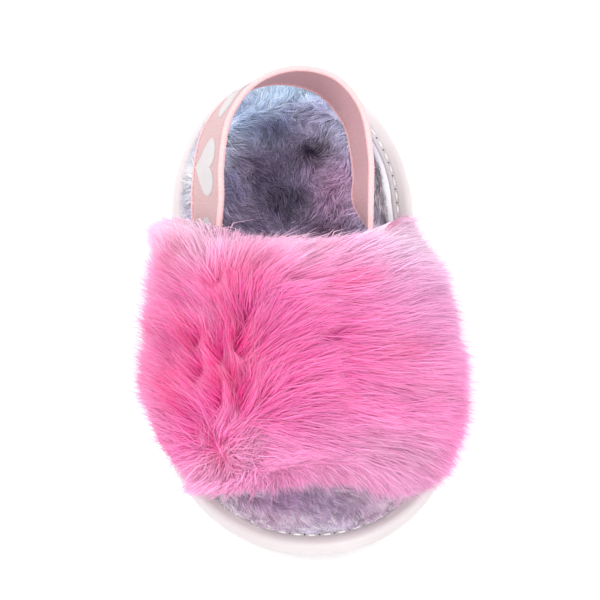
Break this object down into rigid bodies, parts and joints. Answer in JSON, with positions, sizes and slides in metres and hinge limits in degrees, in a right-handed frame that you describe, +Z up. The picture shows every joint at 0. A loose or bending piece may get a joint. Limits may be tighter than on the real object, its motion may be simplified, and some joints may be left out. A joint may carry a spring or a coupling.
{
  "type": "baby fur slide sandal",
  "caption": "Right baby sandal: deep faux fur band over the forefoot, plush footbed, white cup sole, elastic heel strap with hearts.",
  "frame": {"origin": "on the ground, under the middle of the shoe's bounding box", "axes": "+Z up, the toe points to -Y and the heel to +Y, and +X is the inner (big toe) side of a right foot"},
  "size_m": [0.0726, 0.121, 0.0515],
  "materials": {
    "sole_rubber": "matte white moulded rubber",
    "footbed_plush": "tie-dyed blue, mauve and violet plush pile",
    "band_fur": "long faux fur dyed hot pink to pale pink",
    "strap_elastic": "dusty pink woven elastic with a beaded edge"
  },
  "bodies": {
    "root": {"outsole": "sole_rubber", "insole": "footbed_plush", "fur_band": "band_fur", "heel_strap": "strap_elastic"}
  },
  "joints": []
}
